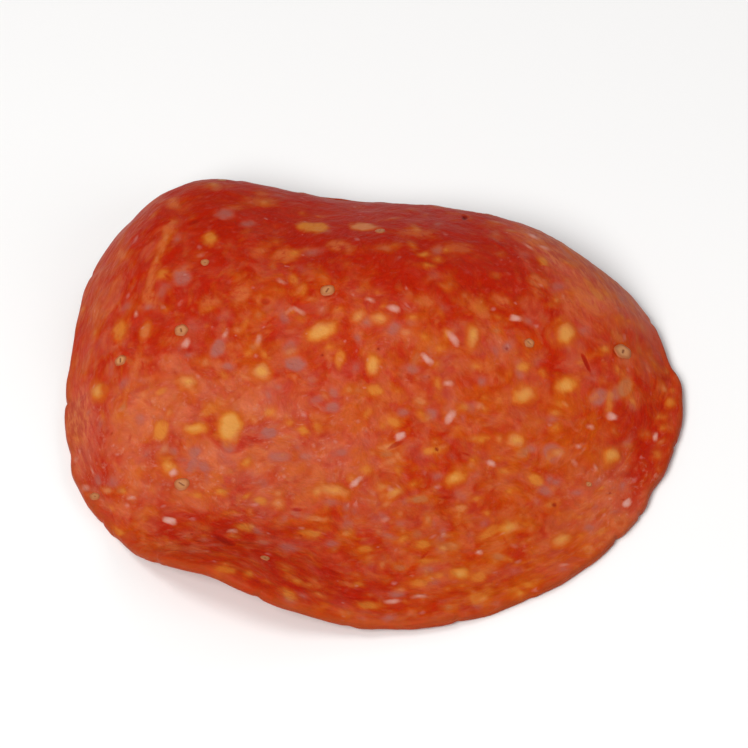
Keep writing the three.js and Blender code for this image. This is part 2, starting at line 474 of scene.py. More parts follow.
# Cut seeds: pixel, pixels across, and how pale the cut is, from 0 to 1.
SEEDS = (
    (333, 486, 5.5, 0.35), (319, 527, 8.7, 0.50), (282, 545, 8.2, 1.00), (407, 503, 9.6, 0.60),
    (439, 467, 6.5, 0.35), (586, 540, 12.0, 0.85), (530, 535, 6.5, 0.40), (319, 620, 9.6, 0.60),
    (267, 628, 6.5, 0.50), (565, 621, 4.0, 0.40), (370, 665, 6.0, 0.25),
)
PITS = ((490, 459, 3.4, 2.8), (544, 633, 3.0, 2.6))
SLITS = (
    (564, 547, 13, 3, -65), (345, 653, 17, 4, -25), (327, 462, 9, 3, 20), (389, 636, 7, 2.2, -5),
    (478, 627, 9, 2.5), (448, 597, 11, 3, 28), (370, 510, 6, 4), (323, 539, 5, 3, 60),
)

# Broad tints by the photograph: pixel, long and wide in pixels, tilt, strength.  The rose areas
# are a painted sheen, partly the meat's own rosier colour.
ROSE_SHEEN_AREAS = (
    (345, 598, 190, 84, -8, 1.1), (272, 612, 60, 50, 70, 0.7), (587, 643, 90, 42, 53, 0.9),
    (575, 500, 130, 60, -42, 0.5), (470, 545, 120, 60, 0, 0.35), (560, 625, 70, 40, 20, 0.4),
)
# Orange tints of the lean meat.
ORANGE_AREAS = (
    (530, 600, 170, 120, 0, 0.6), (450, 650, 200, 50, 0, 0.4), (272, 505, 110, 22, 68, 0.6),
    (340, 675, 150, 16, -25, 0.9), (470, 700, 220, 16, 3, 0.6), (577, 532, 60, 40, -50, 0.5),
    (503, 680, 90, 26, 12, 0.6),
)
# Painted shade: a deeper red where the sheet turns away from the light and in its folds.
PAINTED_SHADE_AREAS = (
    (420, 460, 230, 48, -4, 1.0), (480, 495, 170, 50, -8, 0.8), (318, 500, 70, 90, 0, 0.5),
    (352, 652, 150, 38, -18, 0.6), (268, 590, 20, 80, 5, 0.6), (602, 592, 64, 84, 0, 0.8),
    (425, 685, 140, 26, -5, 0.6), (340, 676, 80, 24, -20, 0.3),
)
# A pale painted sheen over the meat, streaked along the rim, where the sheet turns away.
GRAZING_SHEEN_AREAS = (
    (578, 497, 120, 34, -43, 0.9), (535, 474, 60, 18, -25, 0.8), (556, 512, 50, 30, -40, 0.4),
    (256, 588, 24, 84, 0, 0.9), (598, 640, 60, 16, 58, 0.6),
)

PIECES_MISSING_IN_SHADE = 0.75  # share of the pieces that is missing where the deep red shade is painted
FAT_SHARE = 0.66  # share of the drawn pieces that is kept, at the middle of the sheet
FAT_SLOPE = 0.008  # how much that grows in each millimetre to the right, and to the front
FEWEST = 0.35  # the least that is kept, before the leanness
LENGTHS_DRAWN = (1.3, 2.6)  # of a beta distribution: most pieces are on the short side
SLIMNESS_DRAWN = (0.75, 1.25)
RIM_CLEAR = 0.15  # of its length: how near to the casing the middle of a piece comes
RIM_ZONE = 0.8  # share of the way to the rim where pieces begin to lie along it
RIM_SCATTER = 25  # degrees
DEEPEST_OF_PHOTO = 0.45  # the pieces placed by the photograph are the plain ones, near the cut
SHALLOWEST_LOOSE = 0.15

# Every kind of piece, in the order in which they are drawn: the ones in the photograph, how ragged
# the edge is in mm, corners (2 is an ellipse, more is nearer to a box), mm that it stands out, and
# those that fill the rest of the sheet: how many, shortest and longest long way in mm, slimness.
KINDS = {
    "bright": (BRIGHT_FAT, 0.48, 2, 0.10, (80, 1.0, 2.8, 0.70)),
    "orange": (ORANGE_FAT, 0.55, 2, 0.05, (280, 1.2, 3.6, 0.62)),
    "peach": (PEACH_FAT, 0.50, 2, 0.06, (250, 1.1, 3.1, 0.55)),
    "veiled": (VEILED_FAT, 0.90, 2, 0.0, (340, 1.8, 4.2, 0.60)),
    "grey": (GREY_PATCHES, 0.50, 2, -0.05, (260, 1.5, 3.8, 0.60)),
    "chip": (CHIPS, 0.28, 3, 0.10, (16, 0.7, 1.8, 0.50)),
    "pit": (PITS, 0.08, 2, -0.30, (26, 0.35, 0.7, 0.8)),
    "slit": (SLITS, 0.15, 2, -0.12, (16, 0.9, 2.6, 0.28)),
    "olive": (OLIVE_FAT, 0.50, 2, 0.0, (70, 1.3, 3.2, 0.55)),
}
RAGGED_LAYERS = ((1.0, 1.9, 1), (0.25, 0.7, 2))


def in_areas(pixels, areas):
    """The strengths of the areas of the photograph that each pixel lies in, added up."""
    total = np.zeros(len(pixels))
    for px, py, long, wide, tilt, strength in areas:
        offset = (pixels - (px, py)) * (1.0, -1.0)
        away = np.linalg.norm(offset @ turned(tilt).T * (2 / long, 2 / wide), axis=-1)
        total += strength * np.exp(-away ** 2)
    return total


def fat_share(x, y):
    """How thickly the pieces lie: fewer at the back left than at the front right, and few where
    the deep red shade is painted."""
    share = min(max(FAT_SHARE + FAT_SLOPE * x - FAT_SLOPE * y, FEWEST), 1.0)
    place = bend.place(*at_flat(np.array([x]), np.array([y])))
    return share * (1 - PIECES_MISSING_IN_SHADE * min(in_areas(photo_pixels(place), PAINTED_SHADE_AREAS)[0], 1.0))


def loose_blobs(random, count, shortest, longest, slim):
    """Scattered pieces, drawn along the rim where they are near to it."""
    blobs = []
    while len(blobs) < count:
        angle = random.uniform(0, 2 * math.pi)
        share = math.sqrt(random.uniform(0, 1))
        rim = float(rim_radius(np.array([angle]))[0])
        length = shortest + (longest - shortest) * random.beta(*LENGTHS_DRAWN)
        if (1 - share) * rim < RIM_CLEAR * length:
            continue
        x, y = share * rim * math.cos(angle), share * rim * math.sin(angle)
        if random.uniform(0, 1) > fat_share(x, y):
            continue
        tilt = random.uniform(0, 180)
        if share > RIM_ZONE:
            tilt = math.degrees(angle) + 90 + random.normal(0, RIM_SCATTER)
        wide = length * slim * random.uniform(*SLIMNESS_DRAWN)
        blobs.append(loose_blob(x, y, length, min(wide, length), tilt))
    return blobs


class Field:
    """For one kind of piece: how many millimetres inside a piece each point is, and below zero
    outside, and each piece's own number from 0 to 1."""

    FAR = -1.5  # mm outside, where a piece no longer counts

    def __init__(self, flat, ragged):
        self.flat = flat
        self.ragged = ragged
        self.inside = np.full(len(flat), self.FAR)
        self.number = np.zeros(len(flat))

    def add(self, blob, number, raggedness, corners):
        centre, shape = blob
        long, wide = 1 / np.linalg.svd(shape, compute_uv=False)[::-1]
        radius = math.sqrt(long * wide)
        reach = long * (1 - self.FAR / radius)
        near = np.flatnonzero((np.abs(self.flat[:, 0] - centre[0]) < reach)
                              & (np.abs(self.flat[:, 1] - centre[1]) < reach))
        across = np.abs((self.flat[near] - centre) @ shape.T) ** corners
        away = across.sum(axis=-1) ** (1 / corners)
        inside = (1 - away) * radius + raggedness * self.ragged[near]
        better = inside > self.inside[near]
        self.inside[near[better]] = inside[better]
        self.number[near[better]] = number


def marbling():
    """The fields of every kind of piece, over all points of the sheet."""
    random = np.random.default_rng(SEED)
    ragged = layered(sheet.flat, RAGGED_LAYERS)
    fields = {}
    for kind, (pieces, raggedness, corners, _, loose) in KINDS.items():
        field = Field(sheet.flat, ragged)
        for blob in loose_blobs(random, *loose):
            field.add(blob, random.uniform(SHALLOWEST_LOOSE, 1), raggedness, corners)
        for piece, depth in zip(pieces, np.linspace(0, DEEPEST_OF_PHOTO, len(pieces))):
            field.add(photo_blob(*piece), depth, raggedness, corners)
        fields[kind] = field
    return fields


fields = marbling()


# ---- Where the spice seeds lie ---------------------------------------

LOOSE_SEEDS_ABOVE = 5
LOOSE_SEEDS_BELOW = 12
LOOSE_SECTOR = (45, 85)  # degrees: where the ones above begin, and how far they go
REACH_ABOVE = (0.84, 0.94)  # share of the way to the back rim
REACH_BELOW = 0.9
LOOSE_SEED_RADIUS = (0.6, 1.1)  # mm
LOOSE_SEED_PALENESS = (0.2, 0.9)
PLACE_IN_TURN = (0.1, 0.9)  # they follow one another around, each somewhere in its own part


def seed_places():
    """Flat place, radius in millimetres, paleness, and whether it is in the lower face."""
    random = np.random.default_rng(SEED + 1)
    places = []
    for px, py, across, pale in SEEDS:
        centre, _ = photo_map.find(px, py)
        places.append((centre, across / PHOTO_PX_PER_MM / 2, pale, False))
    for below, count in ((False, LOOSE_SEEDS_ABOVE), (True, LOOSE_SEEDS_BELOW)):
        for k in range(count):
            part = (k + random.uniform(*PLACE_IN_TURN)) / count
            angle = 2 * math.pi * part
            reach = REACH_BELOW * RADIUS_BACK * math.sqrt(random.uniform(0, 1))
            if not below:
                angle = math.radians(LOOSE_SECTOR[0] + LOOSE_SECTOR[1] * part)
                reach = RADIUS_BACK * random.uniform(*REACH_ABOVE)
            spot = np.array([reach * math.cos(angle), reach * math.sin(angle)])
            radius = random.uniform(*LOOSE_SEED_RADIUS)
            places.append((spot, radius, random.uniform(*LOOSE_SEED_PALENESS), below))
    return places


seeds = seed_places()


# ---- Relief ----------------------------------------------------------

# In millimetres.
RELIEF_LAYERS = ((0.20, 7.0, 3), (0.06, 2.2, 4), (0.025, 0.8, 5))
DOME_EDGE = (-0.20, 0.60)  # inside a piece's edge, where it rises or sinks
RELIEF_BEGINS = (0.3, 1.6)  # from the casing
SEED_BED = 0.15  # that the meat lies lower under a seed
BED_SLOPE = 0.25
BED_BORDER = 0.3
RIM_LAYERS = ((0.05, 1.6, 6), (0.06, 4.5, 7))
RIM_ACROSS = 2.5  # how much shorter the bumps of the casing edge are across it than along


def cut_relief():
    """Millimetres that the cut face stands out or in."""
    flat = sheet.flat
    height = layered(flat, RELIEF_LAYERS)
    for kind, (_, _, _, dome, _) in KINDS.items():
        height += dome * smoothstep(fields[kind].inside, *DOME_EDGE)
    height[sheet.edge] = 0.0
    height = height * smoothstep(sheet.inward, *RELIEF_BEGINS)
    for centre, radius, _, below in seeds:
        face = sheet.lower if below else sheet.upper
        inside = radius - np.hypot(*(flat - centre).T)
        near = face & (inside > -BED_BORDER)
        bed = height[near].mean() - SEED_BED * smoothstep(inside[near], 0.0, BED_SLOPE)
        height[near] += (bed - height[near]) * smoothstep(inside[near], -BED_BORDER, 0.0)
    return height


relief = cut_relief()


def rim_roughness():
    """Millimetres that the casing edge stands out or in, different along and across it."""
    spots = np.stack([sheet.angle * RADIUS_ACROSS, sheet.level * RIM_ACROSS], axis=-1)
    return np.where(sheet.edge, layered(spots, RIM_LAYERS), 0.0)


def sheet_places():
    facing = sheet.normal * np.where(sheet.lower, -1.0, 1.0)[:, None]
    places = sheet.smooth + facing * relief[:, None] + sheet.tangent * rim_roughness()[:, None]
    places = places + sheet.shift
    places[:, 2] = np.maximum(places[:, 2], 0.0)
    return places


SWIRL = 0.7  # how much longer lumps are along the rim than in the middle
SWIRL_INWARD = 0.6  # how much shorter they get across it
THROUGH = 2.0  # how much shorter lumps are through the sheet


def swirl_places():
    """Coordinates in which round lumps come out drawn along the rim, the more so the nearer to it."""
    radius = np.linalg.norm(sheet.flat, axis=-1)
    share = radius / RADIUS_ACROSS
    drawn = 1 + SWIRL * share ** 2
    depth = SWIRL_INWARD * radius * share + THROUGH * sheet.level
    return np.stack([sheet.flat[:, 0] / drawn, sheet.flat[:, 1] / drawn, depth], axis=-1)


def rim_places():
    """Coordinates in millimetres along the rim, across it, and through the sheet."""
    radius = np.linalg.norm(sheet.flat, axis=-1)
    return np.stack([sheet.angle * RADIUS_ACROSS, radius, THROUGH * sheet.level], axis=-1)


HORIZON = (-0.20, 0.10)  # how far the face looks towards the photograph's camera, as a cosine
WANDER_SEEN = 0.26  # how much the borders of the tints wander, before the horizon and behind
WANDER_BEHIND = 0.50
TINT_LUMPS = 8.0  # mm


def before_the_horizon():
    """1 where the photograph looks at the upper face, and 0 where that has turned well away."""
    return np.where(sheet.lower, 0.0, smoothstep(sheet.normal @ TOWARD_PHOTO, *HORIZON))


def tint(areas, salt):
    """From 0 to 1, how far each point lies in one of these areas, with a wandering border.  Where
    the photograph sees nothing, the wandering alone makes areas."""
    seen = before_the_horizon()
    strength = WANDER_SEEN * seen + WANDER_BEHIND * (1 - seen)
    wandering = strength * wavy(sheet.flat, TINT_LUMPS, salt=salt)
    total = wandering + seen * in_areas(photo_pixels(sheet.smooth), areas)
    return np.clip(total, 0.0, 1.0)


def write_attribute(mesh, name, values):
    if values.ndim == 1:
        layer = mesh.attributes.new(name, "FLOAT", "POINT")
        layer.data.foreach_set("value", values.astype(np.float32))
    else:
        layer = mesh.attributes.new(name, "FLOAT_VECTOR", "POINT")
        layer.data.foreach_set("vector", values.astype(np.float32).ravel())


def add_object(name, data):
    obj = bpy.data.objects.new(name, data)
    bpy.context.collection.objects.link(obj)
    return obj


def make_piece(name, points, faces, attributes, material):
    """A smooth mesh object of points in millimetres."""
    mesh = bpy.data.meshes.new(name)
    mesh.from_pydata((points * MM).tolist(), [], faces)
    mesh.update()
    for attribute, values in attributes.items():
        write_attribute(mesh, attribute, values)
    mesh.polygons.foreach_set("use_smooth", [True] * len(mesh.polygons))
    mesh.materials.append(material)
    return add_object(name, mesh)


def make_slice(material):
    attributes = {
        "swirl": swirl_places(),
        "around_rim": rim_places(),
        "rose_sheen_area": tint(ROSE_SHEEN_AREAS, salt=8),
        "orange_area": tint(ORANGE_AREAS, salt=9),
        "deep_area": tint(PAINTED_SHADE_AREAS, salt=10),
        "grazing_sheen_area": tint(GRAZING_SHEEN_AREAS, salt=11) * before_the_horizon(),
        "from_casing": sheet.inward,
    }
    for kind, field in fields.items():
        attributes[kind] = field.inside
        attributes[kind + "_number"] = field.number
    obj = make_piece("slice_meat", sheet_places(), sheet.triangles, attributes, material)
    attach(obj, "root")
    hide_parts("pepperoni_slice")


# ---- Materials -------------------------------------------------------

# Each noise: the width of its lumps in mm, detail, roughness, distortion, and where it is read, so
# that it doesn't repeat another one.
NOISES = {
    "bending": (5.5, 1.0),
    "fringe": (1.1, 3.0, 0.6),
    "patchy": (1.3, 3.0, 0.65, 0.0, (31.0, 8.0, 3.0)),
    "mottle": (2.8, 2.0, 0.5, 0.3, (7.0, 70.0, 5.0)),
    "streaks": (2.1, 2.0, 0.5, 0.2, (50.0, 7.0, 15.0)),
    "grain": (0.5, 3.0, 0.65),
    "flecks": (1.2, 3.0, 0.65, 0.0, (90.0, 3.0, 33.0)),
    "painted_glints": (0.9, 2.0, 0.6),
    "specks": (1.0, 2.0, 0.6, 0.0, (12.0, 80.0, 21.0)),
    "grazing_sheen": (1.2, 3.0, 0.6, 0.5),
    "scratches": (0.45, 2.0, 0.6),
    "straw": (6.0, 1.0, 0.5, 0.0, (5.0, 25.0, 60.0)),
    "worn": (1.4, 3.0),
    "fine bumps": (0.5, 4.0, 0.6),
    "broad bumps": (1.6, 3.0),
    "sheen": (3.0, 3.0),
    "seed grain": (0.35, 3.0, 0.6),
}


class Nodes:
    """Short names for the shader nodes used here."""

    def __init__(self, name):
        self.material = bpy.data.materials.new(name)
        self.material.use_nodes = True
        self.tree = self.material.node_tree
        self.tree.nodes.clear()

    def put(self, socket, value):
        if isinstance(value, bpy.types.NodeSocket):
            self.tree.links.new(value, socket)
        else:
            socket.default_value = value

    def new(self, kind, inputs, **settings):
        """A node with these settings, and a value or another node's output at each input."""
        node = self.tree.nodes.new("ShaderNode" + kind)
        for name, value in settings.items():
            setattr(node, name, value)
        for key, value in inputs.items():
            self.put(node.inputs[key], value)
        return node

    def attribute(self, name, output="Fac"):
        node = self.new("Attribute", {}, attribute_type="GEOMETRY", attribute_name=name)
        return node.outputs[output]

    def math(self, operation, *values):
        return self.new("Math", dict(enumerate(values)), operation=operation).outputs[0]

    def times(self, a, b):
        return self.math("MULTIPLY", a, b)

    def line(self, value, slope, level):
        return self.math("MULTIPLY_ADD", value, slope, level)

    def shift(self, vector, by):
        return self.new("VectorMath", {0: vector, 1: by}, operation="ADD").outputs[0]

    def stretch(self, vector, by):
        return self.new("VectorMath", {0: vector, 1: by}, operation="MULTIPLY").outputs[0]

    def dim(self, colour, by):
        return self.new("VectorMath", {0: colour, "Scale": by}, operation="SCALE").outputs[0]

    def lumps(self, vector, size, detail, roughness=0.5, distortion=0.0, offset=None, output="Fac"):
        if offset:
            vector = self.shift(vector, offset)
        inputs = {"Vector": vector, "Scale": 1.0 / size, "Detail": detail, "Roughness": roughness,
                  "Distortion": distortion}
        return self.new("TexNoise", inputs).outputs[output]

    def noise(self, name, vector, output="Fac"):
        return self.lumps(vector, *NOISES[name], output=output)

    def cells(self, vector, size, feature="F1"):
        """The cells, and the three numbers from 0 to 1 that each of them draws."""
        cell = self.new("TexVoronoi", {"Vector": vector, "Scale": 1.0 / size}, feature=feature)
        return cell, self.new("SeparateColor", {0: cell.outputs["Color"]}).outputs

    def wander(self, vector, size, by):
        """The vector, moved by smooth noise."""
        moves = self.lumps(vector, size, 1.0, output="Color")
        return self.shift(vector, self.stretch(moves, (by,) * 3))

    def between(self, value, low, high):
        """0 below low, 1 above high, smooth between; low may be the larger."""
        below, above = (1.0, 0.0) if low > high else (0.0, 1.0)
        inputs = {"Value": value, "From Min": min(low, high), "From Max": max(low, high),
                  "To Min": below, "To Max": above}
        return self.new("MapRange", inputs, interpolation_type="SMOOTHSTEP").outputs["Result"]

    def blend(self, factor, first, second):
        node = self.new("Mix", {"Factor": factor}, data_type="RGBA")
        sockets = [s for s in node.inputs if s.type == "RGBA"]
        for socket, value in zip(sockets, (first, second)):
            self.put(socket, value if isinstance(value, bpy.types.NodeSocket) else (*value, 1.0))
        return next(s for s in node.outputs if s.type == "RGBA")

    def wash(self, colour, tone, value, fade, strength):
        """The colour, with a tone over it that fades in where the value crosses this range."""
        return self.blend(self.times(self.between(value, *fade), strength), colour, tone)

    def finish(self, colour, bumps, strength, depth, settings):
        """The material, with bumps of this depth in metres and these settings of the shader."""
        bump = self.new("Bump", {"Strength": strength, "Distance": depth, "Height": bumps})
        inputs = {"Base Color": colour, "Normal": bump.outputs["Normal"], **settings}
        shader = self.new("BsdfPrincipled", inputs)
        self.new("OutputMaterial", {"Surface": shader.outputs["BSDF"]})
        return self.material


RED = (0.40, 0.018, 0.0005)
# The deep red is both the painted shade and the meat's own dark patches.
DEEP_RED = (0.360, 0.0085, 0.0003)
ORANGE_RED = (0.39, 0.038, 0.0006)
# The rose tone is both the painted sheen and the meat's own rose mottles.
ROSE = (0.53, 0.136, 0.058)
BRIGHT_TONE = (0.53, 0.170, 0.022)
STRAW_TONE = (0.51, 0.165, 0.044)
PALE_TONE = (0.57, 0.245, 0.054)
ORANGE_TONE = (0.46, 0.081, 0.003)
PEACH_TONE = (0.52, 0.165, 0.054)
VEILED_TONE = (0.50, 0.112, 0.028)
GREY_TONE = (0.34, 0.100, 0.078)
OLIVE_TONE = (0.39, 0.125, 0.046)
MAUVE_TONE = (0.41, 0.070, 0.039)
# The chip tone is both the chips' own colour and the painted glints.
CHIP_TONE = (0.56, 0.29, 0.255)
CHIP_EDGE = (0.50, 0.18, 0.12)
# Pits and slits are darkened as painted shade in these sunk places.
PIT_TONE = (0.13, 0.006, 0.002)
SLIT_TONE = (0.24, 0.006, 0.002)
SKIN_TONE = (0.29, 0.042, 0.007)
# Tone of the painted sheen where the sheet turns away.
GRAZING_SHEEN_TONE = (0.49, 0.088, 0.050)
MULBERRY_TONE = (0.30, 0.022, 0.014)

# Borders of the orange tint, of the painted rose sheen and of the painted deep red shade: how
# much the border follows a noise, and over what range it fades in.
ORANGE_BORDER = (0.6, (0.45, 1.05))
ROSE_SHEEN_BORDER = (0.6, (0.40, 1.10))
PAINTED_SHADE_BORDER = (-0.6, (-0.30, 0.50))
ROSE_SHEEN_STRENGTH = 0.88
PAINTED_SHADE_STRENGTH = 0.92
ROSE_MOTTLES = ((0.50, 0.72), 0.35)  # range of the mottle, strength

# Patches that melt into one another: what each cell's draw has to be for a tone to show, and two
# sizes of patch: mm, where they are read, how much stronger in rose meat, how strong elsewhere.
MINCE_TONES = (
    ((0.46, 0.78), ORANGE_TONE), ((0.50, 0.82), MAUVE_TONE), ((0.50, 0.20), DEEP_RED),
)
MINCE_SIZES = ((3.6, (9.0, 4.0, 40.0), 0.22, 0.44), (1.9, (60.0, 14.0, 7.0), 0.20, 0.30))
MINCE_WANDER = 0.7  # of the size of a patch

# What is washed over that: noise, range, tone, a tint and how much stronger it is there, and how
# strong elsewhere.
WASHES = (
    ("streaks", (0.52, 0.75), ORANGE_TONE, "deep", -0.25, 0.40),
    ("flecks", (0.54, 0.74), CHIP_EDGE, "rose_sheen", 0.40, 0.10),
    ("flecks", (0.46, 0.26), MAUVE_TONE, "rose_sheen", 0.45, 0.10),
    ("streaks", (0.46, 0.28), DEEP_RED, "rose_sheen", 0.0, 0.40),
    # painted glints: short pale strokes, strongest in the rose sheen
    ("painted_glints", (0.60, 0.78), CHIP_TONE, "rose_sheen", 0.20, 0.06),
)
STREAKS_DRAWN = (1.0, 1.0, 1.6)
GLINTS_DRAWN = (0.7, 1.4, 1.0)
SPECK_SHADE = 0.34
GRAIN_SHADE = 0.34
DARKEST_SHADE = 0.66

# Rounded bits of fat too small for the fields: size of a cell in mm, tone, share of the cells that
# hold one, its radius as a share of the cell, where it is read, softness, strength.
MAUVE_BITS = (2.3, MAUVE_TONE, 0.40, 0.40, (21.0, 2.0, 1.0), 0.38, 0.36)
ORANGE_BITS = (1.6, ORANGE_TONE, 0.45, 0.36, (0.0, 31.0, 2.0), 0.36, 0.36)
PEACH_BITS = (1.1, PEACH_TONE, 0.35, 0.34, (13.0, 0.0, 9.0), 0.36, 0.24)
CHIP_BITS = (1.0, CHIP_TONE, 0.07, 0.24, (3.0, 50.0, 19.0), 0.24, 0.30)
BITS_IN_PAINTED_SHADE = -0.8  # how much weaker they are where the deep red shade is painted
BIT_WANDER = 0.5  # of the size of a cell
BIT_WANDER_LUMPS = 0.8
BIT_RADII = (0.7, 0.5)  # of the radius: how much it varies, and the smallest
BITS_DRAWN = (1.0, 1.0, 1.5)

# Kind, tone of the middle and of the edge, softness of the edge in mm for the deepest and for the
# plainest piece, strength of the deepest and of the plainest.
FAT_LAYERS = (
    ("grey", GREY_TONE, MAUVE_TONE, (2.0, 1.0), (0.12, 1.00)),
    ("olive", OLIVE_TONE, ORANGE_TONE, (2.2, 1.2), (0.12, 1.00)),
    ("orange", BRIGHT_TONE, ORANGE_TONE, (2.6, 1.5), (0.05, 0.90)),
    ("peach", PEACH_TONE, ORANGE_TONE, (2.6, 1.4), (0.05, 0.95)),
)
VEILED_LAYER = ("veiled", VEILED_TONE, ORANGE_TONE, (3.2, 2.2), (0.15, 0.85))
BRIGHT_SOFTNESS = (2.4, 1.5)
BRIGHT_STRENGTH = (0.45, 0.98)
CHIP_LAYER = ("chip", CHIP_TONE, CHIP_EDGE, (0.9, 0.50), (0.25, 0.98))
# The dark tones of slits and pits are painted shade in these sunk places.
CUT_LAYERS = (
    ("slit", SLIT_TONE, DEEP_RED, (0.9, 0.35), (0.30, 0.90)),
    ("pit", PIT_TONE, SLIT_TONE, (0.5, 0.25), (0.45, 0.95)),
)
GROWN = 0.42  # of the softness: how far a piece's edge is moved out
BRIGHT_GROWN = 0.54
SUNK = -0.5  # mm that the tone of the middle shrinks in the deepest
MIDDLE_TONE = (-0.20, 0.80)  # mm inside, where the edge's tone turns to the middle's
PALE_MIDDLE = (0.50, 1.30)  # mm inside, where a bright piece is palest
STRAW_RANGE = (0.42, 0.58)
CLOUD = (0.24, 0.56)  # ranges of the patchy noise
THIN_CLOUD = (0.10, 0.46)

BEND_LUMPS_BY = (3.0, 3.0, 3.0)  # mm that the marbling wanders
FRINGE = (0.5, -0.25)  # mm, slope and level of the fringe noise
SLIGHT_FRINGE = 0.5  # of that, at slits and pits
NEAR_RIM = ((1.8, 0.3), 0.08)  # mm from the casing, strength
RIM_FRINGE = 2.0
RIM_DRAWN = (0.5, 1.0, 1.0)
SKIN_RANGE = (0.6, -0.25)  # mm from the casing
SKIN_WORN = (0.30, 0.62)
SKIN_STRENGTH = (0.45, 0.30)  # slope and level over the worn noise
BROAD_BUMPS = 1.8  # as against the fine ones
BUMP_STRENGTH = 0.55
BUMP_DEPTH = 0.00019  # metres
SHEEN = (0.30, 0.30)  # slope and level of the roughness
MEAT_SURFACE = {
    "IOR": 1.42,
    "Specular IOR Level": 0.07,
    "Subsurface Weight": 0.30,
    "Subsurface Radius": (1.0, 0.35, 0.15),
    "Subsurface Scale": 0.0009,
}


def mince(nodes, places, colour, size, offset, strength):
    """Patches of this size that melt into one another: some orange, some grey, some deep red."""
    moved = nodes.wander(nodes.shift(places, offset), size, size * MINCE_WANDER)
    cell, draws = nodes.cells(moved, size, feature="SMOOTH_F1")
    cell.inputs["Smoothness"].default_value = 1.0
    for draw, (fade, tone) in zip(draws, MINCE_TONES):
        colour = nodes.wash(colour, tone, draw, fade, strength)
    return colour


def tint_share(nodes, name, value, border):
    """How strongly a tint shows, with a border that follows the value of a noise."""
    by, fade = border
    return nodes.between(nodes.line(value, by, nodes.attribute(name + "_area")), *fade)


def meat_colour(nodes, swirl):
    """Colour of the lean meat: minced red patches, with orange clouds, rose clouds that are partly
    a painted sheen, a painted deep red shade, painted glints and a fine grain.
    """
    noises = {
        "mottle": nodes.noise("mottle", swirl),
        "streaks": nodes.noise("streaks", nodes.stretch(swirl, STREAKS_DRAWN)),
        "flecks": nodes.noise("flecks", swirl),
        "painted_glints": nodes.noise("painted_glints", nodes.stretch(swirl, GLINTS_DRAWN)),
    }
    orange = tint_share(nodes, "orange", noises["streaks"], ORANGE_BORDER)
    tints = {
        "rose_sheen": tint_share(nodes, "rose_sheen", noises["mottle"], ROSE_SHEEN_BORDER),
        "deep": tint_share(nodes, "deep", noises["mottle"], PAINTED_SHADE_BORDER),
    }
    colour = nodes.blend(orange, RED, ORANGE_RED)
    # Painted sheen: the rose tint over the meat, partly the meat's own rosier colour.
    colour = nodes.blend(nodes.times(tints["rose_sheen"], ROSE_SHEEN_STRENGTH), colour, ROSE)
    for size, offset, in_rose, elsewhere in MINCE_SIZES:
        strength = nodes.line(tints["rose_sheen"], in_rose, elsewhere)
        colour = mince(nodes, swirl, colour, size, offset, strength)
    colour = nodes.wash(colour, ROSE, noises["mottle"], *ROSE_MOTTLES)
    # Painted shade: a deeper red where the sheet turns away from the light and in its folds.
    colour = nodes.blend(nodes.times(tints["deep"], PAINTED_SHADE_STRENGTH), colour, DEEP_RED)
    for name, fade, tone, tint_name, in_tint, elsewhere in WASHES:
        strength = nodes.line(tints[tint_name], in_tint, elsewhere)
        colour = nodes.wash(colour, tone, noises[name], fade, strength)
    grain = nodes.line(nodes.noise("grain", swirl), GRAIN_SHADE, DARKEST_SHADE)
    return nodes.dim(colour, nodes.line(nodes.noise("specks", swirl), SPECK_SHADE, grain))


def small_bits(nodes, places, colour, bits, outside_shade=1.0):
    """Cells of which a share holds a rounded bit of one tone."""
    size, tone, chosen, radius, offset, soft, strength = bits
    moved = nodes.shift(places, offset)
    moved = nodes.wander(moved, size * BIT_WANDER_LUMPS, size * BIT_WANDER)
    cell, draws = nodes.cells(moved, size)
    here = nodes.between(draws[0], chosen, chosen * 0.5)
    own = nodes.line(draws[1], *BIT_RADII)
    away = nodes.math("DIVIDE", cell.outputs["Distance"], own)
    share = nodes.times(here, nodes.times(outside_shade, strength))
    return nodes.wash(colour, tone, away, (radius + soft, radius - soft), share)


def lay(nodes, colour, layer, fringe, cloud=None, grown=GROWN):
    """Lays a kind of piece over the meat.  A piece's own number says how deep under the cut it
    lies: the deeper, the softer its edge and the fainter it is.  A cloud makes it uneven."""
    kind, middle_tone, edge_tone, (softest, crispest), (faintest, strongest) = layer
    number = nodes.attribute(kind + "_number")
    inside = nodes.math("ADD", nodes.attribute(kind), fringe)
    soft = nodes.line(number, softest - crispest, crispest)
    factor = nodes.between(nodes.math("ADD", nodes.math("DIVIDE", inside, soft), grown), 0.0, 1.0)
    factor = nodes.times(factor, nodes.line(number, faintest - strongest, strongest))
    if cloud is not None:
        factor = nodes.times(factor, cloud)
    deep_inside = nodes.line(number, SUNK, inside)
    own_colour = nodes.blend(nodes.between(deep_inside, *MIDDLE_TONE), edge_tone, middle_tone)
    if kind == "bright":
        own_colour = nodes.blend(nodes.between(deep_inside, *PALE_MIDDLE), own_colour, PALE_TONE)
    return nodes.blend(factor, colour, own_colour)


# A painted sheen where the sheet turns away: noise, how it is stretched along the rim, how much
# the border follows it, the range, strength, tone.
GRAZING_SHEEN_STREAKS = (
    ("grazing_sheen", (0.30, 1.0, 1.0), 0.8, (0.55, 1.30), 0.80, GRAZING_SHEEN_TONE),
    ("scratches", (0.20, 1.0, 1.0), 1.6, (1.30, 2.00), 0.60, PEACH_TONE),
    ("scratches", (0.20, 1.0, 1.0), -2.0, (-0.45, 0.25), 0.55, MULBERRY_TONE),
)


